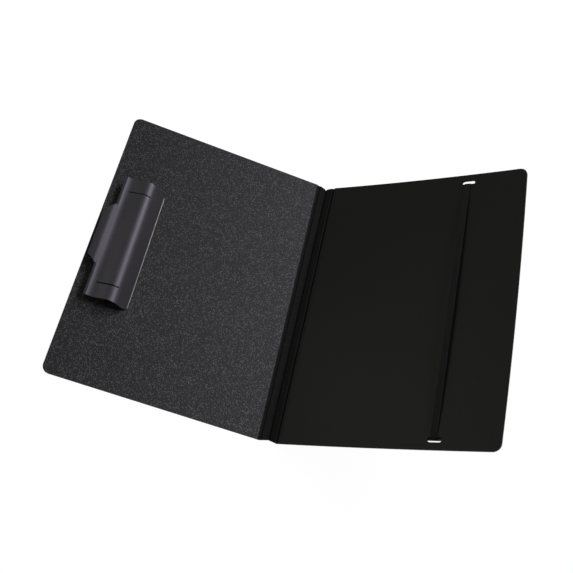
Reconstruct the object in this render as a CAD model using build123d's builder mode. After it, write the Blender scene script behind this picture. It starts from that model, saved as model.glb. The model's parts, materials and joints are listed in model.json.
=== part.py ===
from build123d import *
import os
from math import cos, pi, radians, sin

os.makedirs("parts", exist_ok=True)

# Clipboard folder of the landscape A4 class, standing open on a desk.
# The origin is the centre of the board's underside. X runs across the folder from the
# clip to the cover, Y runs along the creases, and Z is up.

# The sheet that the board, the spine and the cover are creased from
SHEET = 1.6
SHEET_LENGTH = 310.0
BOARD_WIDTH = 217.0
STRIP_WIDTH = 9.0
COVER_WIDTH = 218.0
CORNER_RADIUS = 8.0
SPINE_NOTCH = 2.7
COVER_BOW = 7.5
COVER_SAG = 2.0

# The pressed creases: a thin web at the outer face under a groove in the inner face
WEB = 0.6
WEB_GAP = 0.2
GROOVE_FLOOR = 1.0
GROOVE_TOP = 1.8

# How far the sheet is turned up at each crease as it stands
CREASE_2_TURN = 30.0
CREASE_3_TURN = 13.0

# The elastic band and its slots in the cover
BAND_WIDTH = 6.2
BAND_THICKNESS = 1.1
BAND_CLEARANCE = 0.3
BAND_FROM_SPINE = 156.0
SLOT_FROM_SPINE = 157.0
SLOT_FROM_END = 10.0
SLOT_LENGTH = 13.5
SLOT_WIDTH = 5.0
CLEAT_LENGTH = 18.0
CLEAT_WIDTH = 3.2
CLEAT_THICKNESS = 1.8
CLEAT_CLEARANCE = 0.25

# The clip
CLIP_LENGTH = 143.0
CLIP_SHEET = 1.3
CLIP_CORNER = 8.5
PIVOT_FROM_EDGE = 24.0
PIVOT_HEIGHT = 6.0
PIVOT_RADIUS = 1.5
RUNNING_CLEARANCE = 0.06
TAB_ROOT = 71.0
TAB_TIP = 51.0
TAB_CORNERS = 12.0
TAB_EDGE = 2.2
TAB_EDGE_FILLET = 3.0
TROUGH = 19.6
TROUGH_HEIGHT = 9.55
LIP = 58.0
SLIT_Y = 55.0
SLIT_WIDTH = 1.3
SLIT_START = 20.3
SLIT_END = 43.0
EAR_Y = 51.5
EAR_RADIUS = 4.0
EAR_THICKNESS = 1.2
EAR_REAR_TOP = 9.6
EAR_FRONT_TOP = 11.6
LUG_RADIUS = 4.1
LUG_THICKNESS = 0.9
BASE_THICKNESS = 1.2
BASE_START = 12.5
BASE_END = 44.0
BASE_LENGTH = 124.0
RIVET_Y = 40.0
RIVET_FROM_EDGE = 35.0
RIVET_RADIUS = 2.0
RIVET_HEAD_RADIUS = 3.6
COUNTERSINK = 0.8

BOARD_EDGE = -BOARD_WIDTH / 2
HALF_WEB = WEB / 2
HALF_GAP = WEB_GAP / 2
HALF_LENGTH = SHEET_LENGTH / 2
BOTTOM = (Align.CENTER, Align.CENTER, Align.MIN)


def crease_plane(x, z, turn):
    """A panel's own plane: x runs out from its crease, y along the crease, z to the inner face."""
    lean = radians(turn)
    return Plane(origin=(x, 0, z), x_dir=(cos(lean), 0, sin(lean)), z_dir=(-sin(lean), 0, cos(lean)))


CREASE_1_X = BOARD_WIDTH / 2
CREASE_2_X = CREASE_1_X + STRIP_WIDTH
CREASE_3_X = CREASE_2_X + STRIP_WIDTH * cos(radians(CREASE_2_TURN))
CREASE_3_Z = HALF_WEB + STRIP_WIDTH * sin(radians(CREASE_2_TURN))
COVER_TURN = CREASE_2_TURN + CREASE_3_TURN

board_plane = crease_plane(CREASE_1_X, HALF_WEB, 0)
strip_1_plane = crease_plane(CREASE_1_X, HALF_WEB, 0)
strip_2_plane = crease_plane(CREASE_2_X, HALF_WEB, CREASE_2_TURN)
cover_plane = crease_plane(CREASE_3_X, CREASE_3_Z, COVER_TURN)


def section_plane(panel_plane):
    """The plane of a panel's cross-section, with the panel's x and z as its own x and y."""
    return Plane(origin=panel_plane.origin, x_dir=panel_plane.x_dir, z_dir=-panel_plane.y_dir)


def web_section(start, side, reach):
    """Outline a stretch of sheet that ends in a crease's web at start and is plain at its reach."""
    inner = SHEET - HALF_WEB
    centre = start + side * (HALF_GAP + HALF_WEB)
    with BuildSketch() as section:
        with BuildLine():
            Line((reach, -HALF_WEB), (centre, -HALF_WEB))
            ThreePointArc((centre, -HALF_WEB), (centre - side * HALF_WEB, 0), (centre, HALF_WEB))
            Polyline(
                (centre, HALF_WEB),
                (start + side * GROOVE_FLOOR, HALF_WEB),
                (start + side * GROOVE_TOP, inner),
                (reach, inner),
                (reach, -HALF_WEB),
            )
        make_face()
    return section.sketch


# The board, with rounded outer corners and holes for the clip's rivets
with BuildPart() as back_board:
    with BuildSketch(section_plane(board_plane)):
        add(web_section(0, -1, -BOARD_WIDTH))
    extrude(amount=HALF_LENGTH, both=True)
    with BuildSketch(Plane.XY) as board_outline:
        Rectangle(BOARD_WIDTH, SHEET_LENGTH)
        fillet(board_outline.vertices().group_by(Axis.X)[0], CORNER_RADIUS)
    extrude(amount=SHEET, mode=Mode.INTERSECT)
    with Locations(
        (BOARD_EDGE + RIVET_FROM_EDGE, RIVET_Y, 0),
        (BOARD_EDGE + RIVET_FROM_EDGE, -RIVET_Y, 0),
    ):
        Hole(RIVET_RADIUS + RUNNING_CLEARANCE)
        Cone(RIVET_HEAD_RADIUS, RIVET_RADIUS, COUNTERSINK, align=BOTTOM, mode=Mode.SUBTRACT)


def make_strip(plane, notch_at_start):
    """A spine strip, cut in at the middle crease so that the two strips end in a shallow notch."""
    near, far = (SPINE_NOTCH, 0) if notch_at_start else (0, SPINE_NOTCH)
    with BuildPart() as strip:
        with BuildSketch(section_plane(plane)):
            add(web_section(0, 1, STRIP_WIDTH / 2))
            add(web_section(STRIP_WIDTH, -1, STRIP_WIDTH / 2))
        extrude(amount=HALF_LENGTH, both=True)
        with BuildSketch(plane.offset(-HALF_WEB)):
            with BuildLine():
                Polyline(
                    (0, near - HALF_LENGTH),
                    (STRIP_WIDTH, far - HALF_LENGTH),
                    (STRIP_WIDTH, HALF_LENGTH - far),
                    (0, HALF_LENGTH - near),
                    close=True,
                )
            make_face()
        extrude(amount=SHEET, mode=Mode.INTERSECT)
    return strip


spine_strip_1 = make_strip(strip_1_plane, False)
spine_strip_2 = make_strip(strip_2_plane, True)


def cover_drop(reach, along):
    """How far the cover has bowed to its outer side, out from its crease and along it."""
    sag = COVER_SAG * (1 - (2 * reach / COVER_WIDTH - 1) ** 2)
    bow = COVER_BOW * reach / COVER_WIDTH * (1 - (along / HALF_LENGTH) ** 2)
    return sag + bow


def cover_rib(reach):
    """The cover's section along the folder, a band of sheet that bows more the further out it is."""
    outer = -HALF_WEB
    inner = SHEET - HALF_WEB
    end = cover_drop(reach, HALF_LENGTH)
    middle = cover_drop(reach, 0)
    with BuildSketch() as rib:
        with BuildLine():
            ThreePointArc((-HALF_LENGTH, inner - end), (0, inner - middle), (HALF_LENGTH, inner - end))
            Line((HALF_LENGTH, inner - end), (HALF_LENGTH, outer - end))
            ThreePointArc((HALF_LENGTH, outer - end), (0, outer - middle), (-HALF_LENGTH, outer - end))
            Line((-HALF_LENGTH, outer - end), (-HALF_LENGTH, inner - end))
        make_face()
    return rib.sketch


def rib_plane(reach):
    """The plane of a cover rib, with the folder's length and the cover's inner side as x and y."""
    origin = cover_plane.from_local_coords((reach, 0, 0))
    return Plane(origin=origin, x_dir=cover_plane.y_dir, z_dir=cover_plane.x_dir)


# The cover, lofted through ribs that bow more towards its outer edge
COVER_ROOT = 4.0
RIB_REACHES = (COVER_ROOT, COVER_WIDTH / 2, COVER_WIDTH)
with BuildPart() as cover_panel:
    for reach in RIB_REACHES:
        with BuildSketch(rib_plane(reach)):
            add(cover_rib(reach))
    loft()
    with BuildSketch(section_plane(cover_plane)):
        add(web_section(0, 1, COVER_ROOT))
    extrude(amount=HALF_LENGTH, both=True)
    deep = COVER_BOW + COVER_SAG + SHEET
    with BuildSketch(cover_plane.offset(-deep)) as cover_outline:
        with Locations((COVER_WIDTH / 2, 0)):
            Rectangle(COVER_WIDTH, SHEET_LENGTH)
        fillet(cover_outline.vertices().group_by(Axis.X)[-1], CORNER_RADIUS)
        with Locations(
            (SLOT_FROM_SPINE, HALF_LENGTH - SLOT_FROM_END),
            (SLOT_FROM_SPINE, SLOT_FROM_END - HALF_LENGTH),
        ):
            SlotOverall(SLOT_LENGTH, SLOT_WIDTH, mode=Mode.SUBTRACT)
    extrude(amount=2 * deep, mode=Mode.INTERSECT)

# The elastic band, pulled straight between the slots and down through their inner sides
SLOT_INNER_Y = HALF_LENGTH - SLOT_FROM_END - SLOT_WIDTH / 2
BAND_TURN_Y = SLOT_INNER_Y + BAND_THICKNESS / 2 + CLEAT_CLEARANCE
SLOT_DROP = cover_drop(BAND_FROM_SPINE, BAND_TURN_Y)
BAND_LINE = SHEET - HALF_WEB - SLOT_DROP + BAND_THICKNESS / 2 + BAND_CLEARANCE
CLEAT_TOP = -HALF_WEB - SLOT_DROP - CLEAT_CLEARANCE
with BuildPart() as elastic_band:
    with BuildSketch(rib_plane(BAND_FROM_SPINE)):
        with BuildLine():
            FilletPolyline(
                (-BAND_TURN_Y, CLEAT_TOP),
                (-BAND_TURN_Y, BAND_LINE),
                (BAND_TURN_Y, BAND_LINE),
                (BAND_TURN_Y, CLEAT_TOP),
                radius=BAND_THICKNESS,
            )
        trace(line_width=BAND_THICKNESS)
    extrude(amount=BAND_WIDTH / 2, both=True)


def make_cleat(side):
    """A T-bar cleat, moulded on the band's end, that lies across the back of its slot."""
    with BuildPart() as cleat:
        with BuildSketch(cover_plane.offset(CLEAT_TOP)):
            with Locations((SLOT_FROM_SPINE, side * BAND_TURN_Y)):
                SlotOverall(CLEAT_LENGTH, CLEAT_WIDTH)
        extrude(amount=-CLEAT_THICKNESS)
        chamfer(cleat.faces().sort_by(Axis((0, 0, 0), cover_plane.z_dir))[0].edges(), 0.5)
    return cleat


upper_band_cleat = make_cleat(1)
lower_band_cleat = make_cleat(-1)


def clip_plane(y):
    """A cross-section of the clip, with the reach from the board's edge and the height on it."""
    return Plane(origin=(BOARD_EDGE, y, SHEET), x_dir=(1, 0, 0), z_dir=(0, -1, 0))


# The base plate, riveted to the board, with a lug bent up near each end for the pivot rod
BASE_WIDTH = BASE_END - BASE_START
BASE_MIDDLE_X = BOARD_EDGE + (BASE_START + BASE_END) / 2
PIVOT_X = BOARD_EDGE + PIVOT_FROM_EDGE
PIVOT_Z = SHEET + PIVOT_HEIGHT
RIVET_X = BOARD_EDGE + RIVET_FROM_EDGE
LUG_FOOT = 7.5
with BuildPart() as clip_base:
    with BuildSketch(Plane.XY.offset(SHEET)):
        with Locations((BASE_MIDDLE_X, 0)):
            RectangleRounded(BASE_WIDTH, BASE_LENGTH, 3)
        with Locations((RIVET_X, RIVET_Y), (RIVET_X, -RIVET_Y)):
            Circle(RIVET_RADIUS, mode=Mode.SUBTRACT)
    extrude(amount=BASE_THICKNESS)
    for y in (SLIT_Y, -SLIT_Y):
        with BuildSketch(clip_plane(y)):
            with Locations((PIVOT_FROM_EDGE, PIVOT_HEIGHT)):
                Circle(LUG_RADIUS)
            with BuildLine():
                Polyline(
                    (PIVOT_FROM_EDGE - LUG_FOOT, BASE_THICKNESS / 2),
                    (PIVOT_FROM_EDGE - LUG_RADIUS, PIVOT_HEIGHT),
                    (PIVOT_FROM_EDGE + LUG_RADIUS, PIVOT_HEIGHT),
                    (PIVOT_FROM_EDGE + LUG_FOOT, BASE_THICKNESS / 2),
                    close=True,
                )
            make_face()
            with Locations((PIVOT_FROM_EDGE, PIVOT_HEIGHT)):
                Circle(PIVOT_RADIUS, mode=Mode.SUBTRACT)
        extrude(amount=LUG_THICKNESS / 2, both=True)

# The pivot rod, held in the lugs and headed at both ends
ROD_LENGTH = 2 * SLIT_Y + 6
ROD_HEAD = 1.2
with BuildPart() as pivot_rod:
    with BuildSketch(Plane(origin=(PIVOT_X, 0, PIVOT_Z), z_dir=(0, 1, 0))):
        Circle(PIVOT_RADIUS)
    extrude(amount=ROD_LENGTH / 2, both=True)
    for end in (-1, 1):
        with BuildSketch(Plane(origin=(PIVOT_X, end * ROD_LENGTH / 2, PIVOT_Z), z_dir=(0, end, 0))):
            Circle(PIVOT_RADIUS + 0.9)
        extrude(amount=ROD_HEAD)

# The two rivets, domed on the base plate and flared flush with the board's underside
RIVET_TOP = SHEET + BASE_THICKNESS
RIVET_DOME = 1.3
with BuildPart() as clip_rivets:
    for y in (RIVET_Y, -RIVET_Y):
        with BuildSketch(Plane(origin=(RIVET_X, y, 0), x_dir=(1, 0, 0), z_dir=(0, -1, 0))):
            with BuildLine():
                Polyline(
                    (0, RIVET_TOP + RIVET_DOME),
                    (0, 0),
                    (RIVET_HEAD_RADIUS - 0.3, 0),
                    (RIVET_RADIUS, COUNTERSINK - RUNNING_CLEARANCE),
                    (RIVET_RADIUS, RIVET_TOP),
                    (RIVET_HEAD_RADIUS, RIVET_TOP),
                )
                Polyline(
                    (RIVET_HEAD_RADIUS, RIVET_TOP),
                    (RIVET_HEAD_RADIUS * 2 / 3, RIVET_TOP + RIVET_DOME * 0.7),
                    (RIVET_HEAD_RADIUS / 3, RIVET_TOP + RIVET_DOME),
                    (0, RIVET_TOP + RIVET_DOME),
                )
            make_face()
        revolve(axis=Axis((RIVET_X, y, 0), (0, 0, 1)))


def shell_run():
    """The middle line of the pressed lever, from its rolled rear edge over the crest to the lip."""
    with BuildLine() as run:
        rear = PolarLine((12.9, 8.3), 0.9, 80)
        ridge = JernArc(start=rear @ 1, tangent=rear % 1, radius=1.3, arc_size=-92)
        fall = Line(ridge @ 1, ridge @ 1 + 1.5 * (ridge % 1))
        trough = JernArc(start=fall @ 1, tangent=fall % 1, radius=17, arc_size=34)
        rise = Line(trough @ 1, trough @ 1 + 6.0 * (trough % 1))
        crest = JernArc(start=rise @ 1, tangent=rise % 1, radius=13.5, arc_size=-64)
        slope = Line(crest @ 1, crest @ 1 + 13.75 * (crest % 1))
        JernArc(start=slope @ 1, tangent=slope % 1, radius=2.5, arc_size=30)
    return run.line


def tab_run():
    """The middle line of the thumb tab, from the trough outwards to its turned-down rim."""
    with BuildLine() as run:
        trough = JernArc(start=(TROUGH, TROUGH_HEIGHT), tangent=(-1, 0), radius=17, arc_size=-10)
        rise = Line(trough @ 1, trough @ 1 + 5.4 * (trough % 1))
        back = JernArc(start=rise @ 1, tangent=rise % 1, radius=9, arc_size=30)
        bend = JernArc(start=back @ 1, tangent=back % 1, radius=1.2, arc_size=18)
        Line(bend @ 1, bend @ 1 + 4.2 * (bend % 1))
    return run.line


# The lever: a pressed shell with open ends, slits over the lugs and ears round the pivot rod
with BuildPart() as clip_lever:
    with BuildSketch(clip_plane(0)):
        trace(shell_run().edges(), line_width=CLIP_SHEET)
    extrude(amount=CLIP_LENGTH / 2, both=True)
    with BuildSketch(Plane.XY.offset(SHEET)):
        with Locations((BOARD_EDGE + TROUGH, 0)):
            Rectangle(TROUGH, TAB_ROOT - 2, align=(Align.MAX, Align.CENTER))
    extrude(amount=20, mode=Mode.SUBTRACT)
    with BuildSketch(clip_plane(0)):
        trace(tab_run().edges(), line_width=CLIP_SHEET)
    extrude(amount=TAB_ROOT / 2, both=True)
    with BuildSketch(Plane.XY) as lever_outline:
        with BuildLine():
            Polyline(
                (BOARD_EDGE + TAB_CORNERS, -CLIP_LENGTH / 2),
                (BOARD_EDGE + LIP, -CLIP_LENGTH / 2),
                (BOARD_EDGE + LIP, CLIP_LENGTH / 2),
                (BOARD_EDGE + TAB_CORNERS, CLIP_LENGTH / 2),
                (BOARD_EDGE + TAB_CORNERS, TAB_ROOT / 2),
                (BOARD_EDGE + TAB_EDGE, TAB_TIP / 2),
                (BOARD_EDGE + TAB_EDGE, -TAB_TIP / 2),
                (BOARD_EDGE + TAB_CORNERS, -TAB_ROOT / 2),
                close=True,
            )
        make_face()
        fillet(lever_outline.vertices().group_by(Axis.X)[-1], CLIP_CORNER)
        fillet(lever_outline.vertices().group_by(Axis.X)[0], TAB_EDGE_FILLET)
        for y in (SLIT_Y, -SLIT_Y):
            with Locations((BOARD_EDGE + (SLIT_START + SLIT_END) / 2, y)):
                SlotOverall(SLIT_END - SLIT_START, SLIT_WIDTH, mode=Mode.SUBTRACT)
    extrude(amount=30, mode=Mode.INTERSECT)
    for y in (EAR_Y, -EAR_Y):
        with BuildSketch(clip_plane(y)):
            with Locations((PIVOT_FROM_EDGE, PIVOT_HEIGHT)):
                Circle(EAR_RADIUS)
            with BuildLine():
                Polyline(
                    (PIVOT_FROM_EDGE - EAR_RADIUS, PIVOT_HEIGHT),
                    (PIVOT_FROM_EDGE - EAR_RADIUS, EAR_REAR_TOP),
                    (PIVOT_FROM_EDGE + EAR_RADIUS, EAR_FRONT_TOP),
                    (PIVOT_FROM_EDGE + EAR_RADIUS, PIVOT_HEIGHT),
                    close=True,
                )
            make_face()
            with Locations((PIVOT_FROM_EDGE, PIVOT_HEIGHT)):
                Circle(PIVOT_RADIUS + RUNNING_CLEARANCE, mode=Mode.SUBTRACT)
        extrude(amount=EAR_THICKNESS / 2, both=True)

# The torsion springs on the rod, which push the thumb tab up and so the lip down
WIRE_RADIUS = 0.6
WIRE_SIDES = 4
COIL_RADIUS = 2.15
COIL_PITCH = 1.7
COIL_TURNS = 3
SPRING_Y = 18.0
SAMPLE_STEP = 0.25
LEG_LENGTH = 8.5
LOWER_LEG_SLOPE = 14.0


def least_gap(run):
    """The least gap of a spring to itself, from points over half a turn apart along its wire."""
    steps = round(run.length / SAMPLE_STEP)
    apart = round(pi * COIL_RADIUS / SAMPLE_STEP)
    points = [run @ (i / steps) for i in range(steps + 1)]
    spans = [(p - q).length for i, p in enumerate(points) for q in points[i + apart:]]
    return min(spans) - 2 * WIRE_RADIUS


def make_spring(y):
    """A torsion spring: turns round the rod, from the leg on the base to the leg under the tab."""
    turned = COIL_TURNS + (180 + LOWER_LEG_SLOPE) / 360
    with BuildLine() as coil:
        Helix(COIL_PITCH, COIL_PITCH * turned, COIL_RADIUS)
    turns = coil.line.rotate(Axis.Z, -90 - LOWER_LEG_SLOPE).edges()[0]
    with BuildLine() as wire:
        add(turns)
        Line(turns @ 0 - LEG_LENGTH * (turns % 0), turns @ 0)
        Line(turns @ 1, turns @ 1 + LEG_LENGTH * (turns % 1))
    run = wire.wires()[0]
    print(f"spring at y {y:.0f}: least gap to itself {least_gap(run):.2f} mm")
    with BuildPart() as spring:
        with BuildSketch(Plane(origin=run @ 0, z_dir=run % 0)):
            RegularPolygon(WIRE_RADIUS, WIRE_SIDES)
        sweep(path=run)
    start_y = y + COIL_PITCH * turned / 2
    place = Plane(origin=(PIVOT_X, start_y, PIVOT_Z), x_dir=(1, 0, 0), z_dir=(0, -1, 0))
    with BuildPart() as placed:
        add(place.from_local_coords(spring.part))
    return placed


upper_clip_spring = make_spring(SPRING_Y)
lower_clip_spring = make_spring(-SPRING_Y)

PIECES = {
    "back_board": back_board.part,
    "spine_strip_1": spine_strip_1.part,
    "spine_strip_2": spine_strip_2.part,
    "cover_panel": cover_panel.part,
    "elastic_band": elastic_band.part,
    "upper_band_cleat": upper_band_cleat.part,
    "lower_band_cleat": lower_band_cleat.part,
    "clip_base": clip_base.part,
    "clip_lever": clip_lever.part,
    "pivot_rod": pivot_rod.part,
    "clip_rivets": clip_rivets.part,
    "upper_clip_spring": upper_clip_spring.part,
    "lower_clip_spring": lower_clip_spring.part,
}
for name, piece in PIECES.items():
    piece.label = name
    export_step(piece, f"parts/{name}.step")
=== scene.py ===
import json
import math

import bmesh
import bpy
from mathutils import Euler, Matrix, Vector


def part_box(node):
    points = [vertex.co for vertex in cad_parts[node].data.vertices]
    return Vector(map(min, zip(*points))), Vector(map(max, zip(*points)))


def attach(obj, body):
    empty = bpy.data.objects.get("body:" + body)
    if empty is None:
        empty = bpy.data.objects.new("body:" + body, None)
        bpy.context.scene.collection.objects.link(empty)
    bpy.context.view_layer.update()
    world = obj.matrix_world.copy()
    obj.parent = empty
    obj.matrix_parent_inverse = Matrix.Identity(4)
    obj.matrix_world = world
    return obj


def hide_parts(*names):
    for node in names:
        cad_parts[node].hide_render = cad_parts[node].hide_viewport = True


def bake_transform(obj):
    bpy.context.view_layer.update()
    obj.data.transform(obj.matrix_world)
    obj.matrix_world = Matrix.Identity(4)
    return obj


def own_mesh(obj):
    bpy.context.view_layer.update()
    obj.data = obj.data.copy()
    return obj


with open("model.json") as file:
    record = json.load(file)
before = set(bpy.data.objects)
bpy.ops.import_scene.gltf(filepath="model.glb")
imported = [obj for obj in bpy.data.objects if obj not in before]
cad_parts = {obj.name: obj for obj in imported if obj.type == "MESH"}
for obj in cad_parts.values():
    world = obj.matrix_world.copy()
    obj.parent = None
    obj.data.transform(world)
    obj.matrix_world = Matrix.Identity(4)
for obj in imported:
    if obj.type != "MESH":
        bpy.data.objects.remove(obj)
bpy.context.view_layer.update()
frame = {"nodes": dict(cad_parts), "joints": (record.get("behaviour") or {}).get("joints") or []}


# The desk: a plain white table top under the folder, which rests on it by the board's underside.
# To the camera it glows almost evenly, as the paper-white ground of a product shot does.
class Socket:
    """A shader value that can be written in a sum, so that node maths reads as maths."""

    def __init__(self, finish, link):
        self.finish = finish
        self.link = link

    def maths(self, operation, first, second):
        return self.finish.node("ShaderNodeMath", {"operation": operation}, {0: first, 1: second})

    def __add__(self, other):
        return self.maths("ADD", self, other)

    def __radd__(self, other):
        return self.maths("ADD", other, self)

    def __sub__(self, other):
        return self.maths("SUBTRACT", self, other)

    def __rsub__(self, other):
        return self.maths("SUBTRACT", other, self)

    def __mul__(self, other):
        return self.maths("MULTIPLY", self, other)

    def __rmul__(self, other):
        return self.maths("MULTIPLY", other, self)

    def over(self, limit):
        """1 where the value is above the limit, and 0 elsewhere."""
        return self.maths("GREATER_THAN", self, limit)

    def clamped(self):
        """The value held between 0 and 1."""
        return self.finish.node("ShaderNodeClamp", {}, {0: self})


class Finish:
    """One material, with a single way to add any node to it."""

    def __init__(self, name):
        self.material = bpy.data.materials.new(name)
        self.material.use_nodes = True
        self.nodes = self.material.node_tree.nodes
        self.links = self.material.node_tree.links
        self.shader = self.nodes["Principled BSDF"]

    def feed(self, node, key, value):
        """Give a node's input a value, or link it to the socket that carries one."""
        if isinstance(value, Socket):
            self.links.new(value.link, node.inputs[key])
        else:
            node.inputs[key].default_value = value

    def node(self, kind, settings, inputs, output=0):
        """Add a node of any kind, with its settings and inputs, and give one of its outputs."""
        made = self.nodes.new(kind)
        for key, value in settings.items():
            setattr(made, key, value)
        for key, value in inputs.items():
            self.feed(made, key, value)
        return Socket(self, made.outputs[output])

    def point(self):
        return self.node("ShaderNodeTexCoord", {}, {}, "Object")

    def first_part(self, vector):
        """A point's distance along X, or the first channel of a colour."""
        return self.node("ShaderNodeSeparateXYZ", {}, {0: vector}, "X")

    def noise(self, scale, detail=2.0, roughness=0.5):
        values = {"Vector": self.point(), "Scale": scale, "Detail": detail, "Roughness": roughness}
        return self.node("ShaderNodeTexNoise", {}, values, "Fac")

    def cells(self, scale, output="Distance"):
        return self.node("ShaderNodeTexVoronoi", {}, {"Vector": self.point(), "Scale": scale}, output)

    def blend(self, amount, start, end):
        """A colour between two others."""
        return self.node("ShaderNodeMix", {"data_type": "RGBA"}, {0: amount, 6: start, 7: end}, 2)

    def bump(self, height, strength, distance):
        values = {"Height": height, "Strength": strength, "Distance": distance}
        return self.node("ShaderNodeBump", {}, values, "Normal")

    def set(self, **values):
        """Set inputs of the surface by name, with _ for a space."""
        for key, value in values.items():
            self.feed(self.shader, key.replace("_", " "), value)

    def wear(self, piece):
        piece.data.materials.clear()
        piece.data.materials.append(self.material)


def grey(level, warmth=0.0):
    """A near-neutral colour from one linear level."""
    return (level * (1 + warmth), level, level * (1 - warmth), 1.0)


FLOOR_SIZE = 6.0
FLOOR_DROP = 0.0004
FLOOR_GLOW = 1.05
GLOW_SHARE = 0.93

desk = Finish("desk_white")
desk.set(Base_Color=grey(0.80), Roughness=0.9)
seen = desk.node("ShaderNodeLightPath", {}, {}, "Is Camera Ray")
glow = desk.node("ShaderNodeEmission", {}, {"Color": grey(1.0), "Strength": FLOOR_GLOW}, "Emission")
lit = Socket(desk, desk.shader.outputs[0])
mixed = desk.node("ShaderNodeMixShader", {}, {0: seen * GLOW_SHARE, 1: lit, 2: glow}, "Shader")
desk.feed(desk.nodes["Material Output"], "Surface", mixed)
bpy.ops.mesh.primitive_plane_add(size=FLOOR_SIZE, location=(0, 0, -FLOOR_DROP))
floor = bpy.context.object
floor.name = "desk"
desk.wear(floor)

# The light: two cool square lamps high on the cover's side, like two panes of one window, and
# two broad weak ones on the clip's side. A dim warm sky fills what they leave dark.
COOL = (0.95, 0.93, 1.0)
PLAIN = (1.0, 1.0, 0.97)
SKY_COLOUR = (1.0, 0.985, 0.93, 1.0)
SKY_STRENGTH = 0.14


def placed(name, data):
    """An object in the scene that shows the given mesh, lamp or lens."""
    made = bpy.data.objects.new(name, data)
    bpy.context.collection.objects.link(made)
    return made


def lamp(name, place, target, size, watts, colour):
    """A soft square lamp that faces a point of the folder."""
    light = bpy.data.lights.new(name, "AREA")
    light.color = colour
    light.shape = "SQUARE"
    light.size = size
    light.energy = watts
    holder = placed(name, light)
    holder.location = place
    aim = Vector(target) - Vector(place)
    holder.rotation_euler = aim.to_track_quat("-Z", "Y").to_euler()


world = bpy.data.worlds.new("sky")
bpy.context.scene.world = world
world.use_nodes = True
sky = world.node_tree.nodes["Background"]
sky.inputs["Color"].default_value = SKY_COLOUR
sky.inputs["Strength"].default_value = SKY_STRENGTH
lamp("window_far", (0.72, 1.15, 1.25), (0.0, 0.1, 0.0), 0.40, 8.5, COOL)
lamp("window_near", (0.75, 0.15, 1.25), (0.0, -0.1, 0.0), 0.35, 6, COOL)
lamp("fill", (-0.9, -1.0, 1.2), (0.0, 0.0, 0.0), 1.1, 1, PLAIN)
lamp("left", (-1.2, 0.3, 1.1), (0.0, 0.0, 0.0), 0.8, 1.4, PLAIN)

# The camera: a normal lens about 0.93 m away, high over the near side and rolled a little,
# solved from the corners of the board, the creases and the cover.
PHOTO_PIXELS = 573
FOCAL_PIXELS = 896.05
SENSOR = 36.0
VIEW_REACH = 20

lens = bpy.data.cameras.new("camera")
lens.sensor_width = SENSOR
lens.lens = FOCAL_PIXELS / PHOTO_PIXELS * SENSOR
lens.clip_end = VIEW_REACH
camera = placed("camera", lens)
camera.location = (-0.06640, -0.44588, 0.81393)
camera.rotation_euler = Euler((0.453101, -0.310861, 0.217161), "XYZ")
bpy.context.scene.camera = camera
bpy.context.scene.view_settings.view_transform = "Standard"

# The writing board: the clip side of the one extruded plastic sheet. A pebble grain is rolled into
# its inner face, up to the smooth mouth of the first crease's groove. That mouth is painted near
# black as shade, and faint glints are painted among the grain as light specks.
GROOVE_MOUTH = 0.0021
PEBBLES = 900.0
FINE_GRAIN = 1300.0
CLOUDS = 16.0
CLOUD_START = 0.35
CLOUD_CONTRAST = 2.2
GLINT_SPECK_CELLS = 1250.0
GLINT_SPECK_START = 0.84
PIT_START = 0.43
PIT_CONTRAST = 8.0
PIT_SHARE = 0.95
GRAIN_DEPTH = 0.00030
# Painted shade: the colour of the first crease's groove mouth, near black.
PAINTED_GROOVE_SHADE = grey(0.002)
PIT_BLACK = grey(0.0008)
BOARD_DARK = (0.0085, 0.0080, 0.0090, 1.0)
BOARD_LIGHT = (0.0135, 0.0125, 0.0140, 1.0)
# Painted glints: the colour of the bright specks among the grain.
PAINTED_GLINT_COLOUR = (0.150, 0.142, 0.160, 1.0)

board_low, board_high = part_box("back_board")
grain = Finish("grained_sheet")
# Where the painted groove shade goes: the last strip of the board before the first crease.
painted_groove_shade = (grain.first_part(grain.point()) - (board_high.x - GROOVE_MOUTH)).over(0.0)
pebble = grain.cells(PEBBLES)
fine = grain.noise(FINE_GRAIN, detail=3.0, roughness=0.70)
cloudy = grain.noise(CLOUDS, detail=3.0, roughness=0.55)
# Where the painted glint specks go, also a little smoother than the grain around them.
painted_glint_specks = grain.first_part(grain.cells(GLINT_SPECK_CELLS, output="Color")).over(GLINT_SPECK_START)
pits = ((fine - PIT_START) * PIT_CONTRAST).clamped() * PIT_SHARE
tone = grain.blend((cloudy - CLOUD_START) * CLOUD_CONTRAST, BOARD_DARK, BOARD_LIGHT)
tone = grain.blend(pits, tone, PIT_BLACK)
tone = grain.blend(painted_glint_specks * fine, tone, PAINTED_GLINT_COLOUR)
tone = grain.blend(painted_groove_shade, tone, PAINTED_GROOVE_SHADE)
grain.set(
    Base_Color=tone,
    Roughness=0.42 + fine * 0.20 - painted_glint_specks * 0.14 + painted_groove_shade * 0.4,
    Normal=grain.bump(pebble * 0.8 + fine * 0.8, 0.9, GRAIN_DEPTH),
    Specular_IOR_Level=0.46,
)
grain.wear(frame["nodes"]["back_board"])

# The cover: the other side of the same sheet, smooth and slightly shiny with fine scuffs. The
# elastic band across it pulls its outer edge into a bow.
HAZE = 9.0
SCUFFS = 240.0
SCUFF_DEPTH = 0.0002
COVER_DARK = grey(0.0040, warmth=0.08)
COVER_LIGHT = grey(0.0060, warmth=0.08)

smooth = Finish("smooth_sheet")
haze = smooth.noise(HAZE, detail=3.0, roughness=0.6)
scuff = smooth.noise(SCUFFS, detail=2.0, roughness=0.6)
smooth.set(
    Base_Color=smooth.blend(haze, COVER_DARK, COVER_LIGHT),
    Roughness=0.30 + haze * 0.06 + scuff * 0.04,
    Specular_IOR_Level=0.42,
    Normal=smooth.bump(scuff, 0.10, SCUFF_DEPTH),
)
smooth.wear(frame["nodes"]["cover_panel"])

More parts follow.
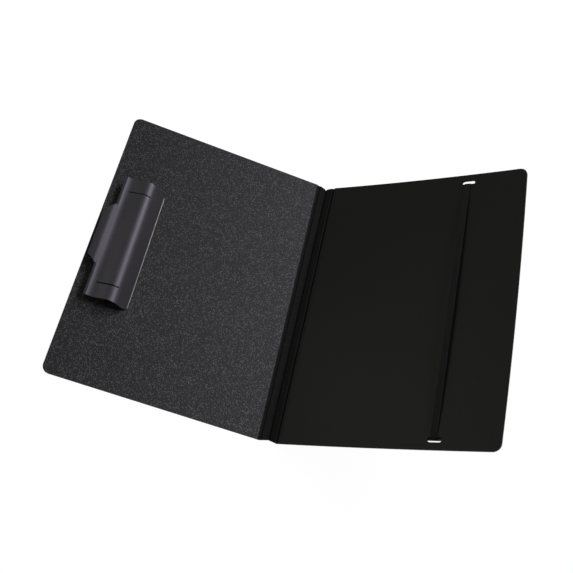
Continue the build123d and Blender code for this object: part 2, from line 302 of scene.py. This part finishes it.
# The spine: two narrow strips of the same sheet between its three creases. The hot press that
# makes the creases leaves them dull; a few small glints are painted into their colour as light specks.
PRESS_MARKS = 420.0
PRESS_DEPTH = 0.0003
PAINTED_SPINE_GLINT_START = 0.66
SPINE_BLACK = grey(0.0040, warmth=0.06)
PAINTED_SPINE_GLINT = grey(0.030)

creased = Finish("creased_sheet")
pressed = creased.noise(PRESS_MARKS, detail=3.0, roughness=0.65)
# Painted glints: the lighter specks of the spine's colour.
painted_spine_glints = pressed.over(PAINTED_SPINE_GLINT_START)
creased.set(
    Base_Color=creased.blend(painted_spine_glints, SPINE_BLACK, PAINTED_SPINE_GLINT),
    Roughness=0.62 + pressed * 0.2,
    Normal=creased.bump(pressed, 0.5, PRESS_DEPTH),
    Specular_IOR_Level=0.16,
)
for strip in ("spine_strip_1", "spine_strip_2"):
    creased.wear(frame["nodes"][strip])

# The webs of the creases: the thin plastic left under each pressed groove. The sheet is whole
# there. In the model each web is split by a hair, so that the panels can turn, and these skins
# close the split, bent to the panels' lean as they stand.
MIDDLE_TURN = math.radians(30.0)
COVER_TURN = math.radians(43.0)
WEB_HALF = 0.00028
SKIN_LIFT = 0.00003
SKIN_REACH = 0.0009
SKIN_STEPS = 12
END_MARGIN = 0.0001
NOTCH = 0.0028

hinge_at = {joint["name"]: Vector(joint["pos_m"]) for joint in frame["joints"]}


def along_panel(lean):
    """The way from the clip to the cover on a panel that leans by this much."""
    return Vector((math.cos(lean), 0, math.sin(lean)))


def off_panel(lean):
    """The way out of a leaning panel's inner face."""
    return Vector((-math.sin(lean), 0, math.cos(lean)))


def closed_piece(name, shape):
    """A finished piece from a mesh under construction, with all its faces turned outwards."""
    bmesh.ops.recalc_face_normals(shape, faces=shape.faces)
    mesh = bpy.data.meshes.new(name)
    shape.to_mesh(mesh)
    shape.free()
    return placed(name, mesh)


def crease_web(joint, lean_before, lean_after, notch):
    """A closed skin over one crease, which follows the sheet a little way on both sides."""
    half_length = board_high.y - END_MARGIN - notch
    shape = bmesh.new()
    inner, outer = [], []
    for step in range(SKIN_STEPS + 1):
        part = step / SKIN_STEPS
        reach = SKIN_REACH * (2 * part - 1)
        way = along_panel(lean_before if reach < 0 else lean_after)
        up = off_panel(lean_before + (lean_after - lean_before) * part)
        for rows, height in ((inner, WEB_HALF + SKIN_LIFT), (outer, -WEB_HALF)):
            spot = hinge_at[joint] + way * reach + up * height
            rows.append([shape.verts.new(spot + Vector((0, side * half_length, 0))) for side in (-1, 1)])
    border = inner + outer[::-1]
    for row, following in zip(border, border[1:] + border[:1]):
        shape.faces.new((row[0], row[1], following[1], following[0]))
    for end in (0, 1):
        shape.faces.new([row[end] for row in border])
    return closed_piece(joint + "_web", shape)


creases = [
    ("crease_1", "board", "strip_1", 0.0, 0.0, 0.0),
    ("crease_2", "strip_1", "strip_2", 0.0, MIDDLE_TURN, NOTCH),
    ("crease_3", "strip_2", "cover", MIDDLE_TURN, COVER_TURN, 0.0),
]
for joint, before, after, lean_before, lean_after, notch in creases:
    web = crease_web(joint, lean_before, lean_after, notch)
    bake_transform(web)
    creased.wear(web)

# The elastic band: a flat black tape woven over rubber, ribbed lengthwise. It lies across the
# inside of the cover near its outer edge, and both ends turn down through slots in it.
BAND_THICK = 0.0010
BAND_BEND = BAND_THICK * 1.2
BAND_RIBS = 5
RIB_HEIGHT = 0.00018
THIN_EDGE = 0.55
BEND_STEPS = 6
FACE_POINTS = 40
WEAVE = 2600.0
WEAVE_DEPTH = 0.0002

OUT = along_panel(COVER_TURN)
ALONG = Vector((0, 1, 0))
INWARD = off_panel(COVER_TURN)


def on_cover(out, along, inward):
    """A point from its distances out from the last crease, along it and in from the cover."""
    return hinge_at["crease_3"] + OUT * out + ALONG * along + INWARD * inward


def span(node, direction):
    """The least and greatest distance from the last crease of a node's points, in one direction."""
    reach = [(v.co - hinge_at["crease_3"]).dot(direction) for v in frame["nodes"][node].data.vertices]
    return min(reach), max(reach)


def band_route():
    """The band's middle line, as distances along and inward: out of one slot and into the other."""
    lower, upper = span("elastic_band", ALONG)
    low, high = span("elastic_band", INWARD)
    lower += BAND_THICK / 2
    upper -= BAND_THICK / 2
    height = high - BAND_THICK / 2 - BAND_BEND
    quarter = [math.pi / 2 * step / BEND_STEPS for step in range(BEND_STEPS + 1)]
    route = [(lower, low)]
    for turn in quarter:
        route.append((lower + BAND_BEND - BAND_BEND * math.cos(turn), height + BAND_BEND * math.sin(turn)))
    for turn in reversed(quarter):
        route.append((upper - BAND_BEND + BAND_BEND * math.cos(turn), height + BAND_BEND * math.sin(turn)))
    route.append((upper, low))
    return route


def band_outline(half_width):
    """Once around the band's section: ribs on both faces, thinner at the two edges."""
    outline = []
    for face in (1, -1):
        for step in range(FACE_POINTS):
            across = step / (FACE_POINTS - 1)
            rib = RIB_HEIGHT * (math.cos(2 * math.pi * BAND_RIBS * across) - 1) / 2
            edge = THIN_EDGE if across in (0.0, 1.0) else 1.0
            outline.append((half_width * (2 * across - 1) * face, (BAND_THICK / 2 * edge + rib) * face))
    return outline


def ribbed_band():
    """One closed tube of tape: its outline set square to the route at each point, and capped."""
    near, far = span("elastic_band", OUT)
    outline = band_outline((far - near) / 2)
    route = band_route()
    shape = bmesh.new()
    rings = []
    for index, (along, inward) in enumerate(route):
        behind = route[max(index - 1, 0)]
        ahead = route[min(index + 1, len(route) - 1)]
        run = Vector((ahead[0] - behind[0], ahead[1] - behind[1])).normalized()
        ring = []
        for across, lift in outline:
            spot = on_cover((far + near) / 2 + across, along - run.y * lift, inward + run.x * lift)
            ring.append(shape.verts.new(spot))
        rings.append(ring)
    for ring, following in zip(rings, rings[1:]):
        for point in range(len(outline)):
            other = (point + 1) % len(outline)
            shape.faces.new((ring[point], ring[other], following[other], following[point]))
    shape.faces.new(rings[0])
    shape.faces.new(reversed(rings[-1]))
    return closed_piece("ribbed_band", shape)


tape = Finish("elastic")
weave = tape.noise(WEAVE)
tape.set(
    Base_Color=tape.blend(weave, grey(0.002), grey(0.006)),
    Roughness=0.75,
    Specular_IOR_Level=0.3,
    Normal=tape.bump(weave, 0.5, WEAVE_DEPTH),
)
band = ribbed_band()
band.data.shade_smooth()
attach(band, "cover")
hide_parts("elastic_band")
tape.wear(band)

# The cleats: two small moulded plastic T-bars, one on each end of the band. They lie behind the
# slots and keep the ends from pulling back through.
moulded = Finish("cleat_plastic")
moulded.set(Base_Color=moulded.blend(moulded.noise(300.0), grey(0.010), grey(0.015)), Roughness=0.42)
for cleat in ("upper_band_cleat", "lower_band_cleat"):
    moulded.wear(frame["nodes"][cleat])

# The clip's lever: one piece pressed from steel sheet and enamelled satin black. A bright line
# is painted along its lip as a highlight, where the curled lip catches the light.
LIP_FROM_EDGE = 0.0567
LIP_HIGHLIGHT_SHARE = 0.8
ORANGE_PEEL = 420.0
PEEL_DEPTH = 0.0002
DULL_PATCHES = 30.0
PAINTED_LIP_HIGHLIGHT = grey(0.40)
ENAMEL_DARK = (0.072, 0.069, 0.081, 1.0)
ENAMEL_LIGHT = (0.098, 0.094, 0.108, 1.0)

enamel = Finish("clip_enamel")
peel = enamel.noise(ORANGE_PEEL)
dulling = enamel.noise(DULL_PATCHES, detail=3.0, roughness=0.6)
# Painted highlight: the strip along the lip is coloured light grey and made a little smoother.
painted_lip_highlight = (enamel.first_part(enamel.point()) - board_low.x).over(LIP_FROM_EDGE) * LIP_HIGHLIGHT_SHARE
coat = enamel.blend(dulling, ENAMEL_DARK, ENAMEL_LIGHT)
enamel.set(
    Base_Color=enamel.blend(painted_lip_highlight, coat, PAINTED_LIP_HIGHLIGHT),
    Metallic=0.7,
    Roughness=0.40 + dulling * 0.08 - painted_lip_highlight * 0.1,
    Normal=enamel.bump(peel, 0.10, PEEL_DEPTH),
)
enamel.wear(frame["nodes"]["clip_lever"])

# The clip's base: a black steel plate with two upright lugs that carry the rod. Two rivets of
# the same dark steel hold it to the board.
COATING_PATCHES = 90.0

coated = Finish("dark_steel")
coated.set(
    Base_Color=coated.blend(coated.noise(COATING_PATCHES), grey(0.012), grey(0.022)),
    Roughness=0.4,
    Metallic=0.4,
)
for fixing in ("clip_base", "clip_rivets"):
    coated.wear(frame["nodes"][fixing])

# The rod: plain drawn steel wire through both lugs and the lever's ears. The lever turns on it.
# It is left bright, with fine draw marks.
bright = Finish("bright_steel")
bright.set(
    Base_Color=bright.blend(bright.noise(200.0), grey(0.42), grey(0.55)),
    Roughness=0.28 + bright.noise(700.0) * 0.12,
    Metallic=1.0,
)
bright.wear(frame["nodes"]["pivot_rod"])

# The springs: round bright wire wound on the rod, one on each side of the middle. They flatten as
# the lever opens, where the turns of real ones stay round and only the upper legs bend. So with
# the lever open their turns run into the rod, out of sight under it.
WIRE_RADIUS = 0.00050
COIL_RADIUS = 0.00215
COIL_PITCH = 0.0017
COIL_TURNS = 3
LEG_LENGTH = 0.0085
LEG_SLOPE = math.radians(14.0)
TURN_POINTS = 20
WIRE_ROUNDNESS = 2

COIL_START = -math.pi / 2 - LEG_SLOPE
COIL_SWEEP = 2 * math.pi * COIL_TURNS + math.pi + LEG_SLOPE


def leg(angle):
    """A straight leg's whole length, on the coil's tangent at an angle."""
    climb = -COIL_PITCH / (2 * math.pi)
    tangent = Vector((-COIL_RADIUS * math.sin(angle), climb, COIL_RADIUS * math.cos(angle)))
    return tangent.normalized() * LEG_LENGTH


def spring_path(pin, middle):
    """Points on the wire's middle line: the lower leg, the turns around the rod, the upper leg."""
    steps = round(COIL_SWEEP / (2 * math.pi) * TURN_POINTS)
    coil = []
    for step in range(steps + 1):
        turn = COIL_SWEEP * step / steps
        angle = COIL_START + turn
        rise = COIL_PITCH * (turn - COIL_SWEEP / 2) / (2 * math.pi)
        across = COIL_RADIUS * math.cos(angle)
        coil.append(Vector((pin.x + across, middle - rise, pin.z + COIL_RADIUS * math.sin(angle))))
    return [coil[0] - leg(COIL_START)] + coil + [coil[-1] + leg(COIL_START + COIL_SWEEP)]


def round_wire(name, path):
    """A round wire through a list of points, closed at both ends."""
    curve = bpy.data.curves.new(name, "CURVE")
    curve.dimensions = "3D"
    curve.bevel_depth = WIRE_RADIUS
    curve.bevel_resolution = WIRE_ROUNDNESS
    curve.use_fill_caps = True
    line = curve.splines.new("POLY")
    line.points.add(len(path) - 1)
    for point, place in zip(line.points, path):
        point.co = (*place, 1.0)
    shaped = placed(name + "_line", curve)
    mesh = bpy.data.meshes.new_from_object(shaped.evaluated_get(bpy.context.evaluated_depsgraph_get()))
    bpy.data.objects.remove(shaped)
    return placed(name, mesh)


pin = hinge_at["clip_pivot"]
for node in ("upper_clip_spring", "lower_clip_spring"):
    low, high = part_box(node)
    middle = (low.y + high.y) / 2
    spring = round_wire(node + "_wire", spring_path(pin, middle))
    bright.wear(spring)
    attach(spring, "board")
    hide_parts(node)
    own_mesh(spring)
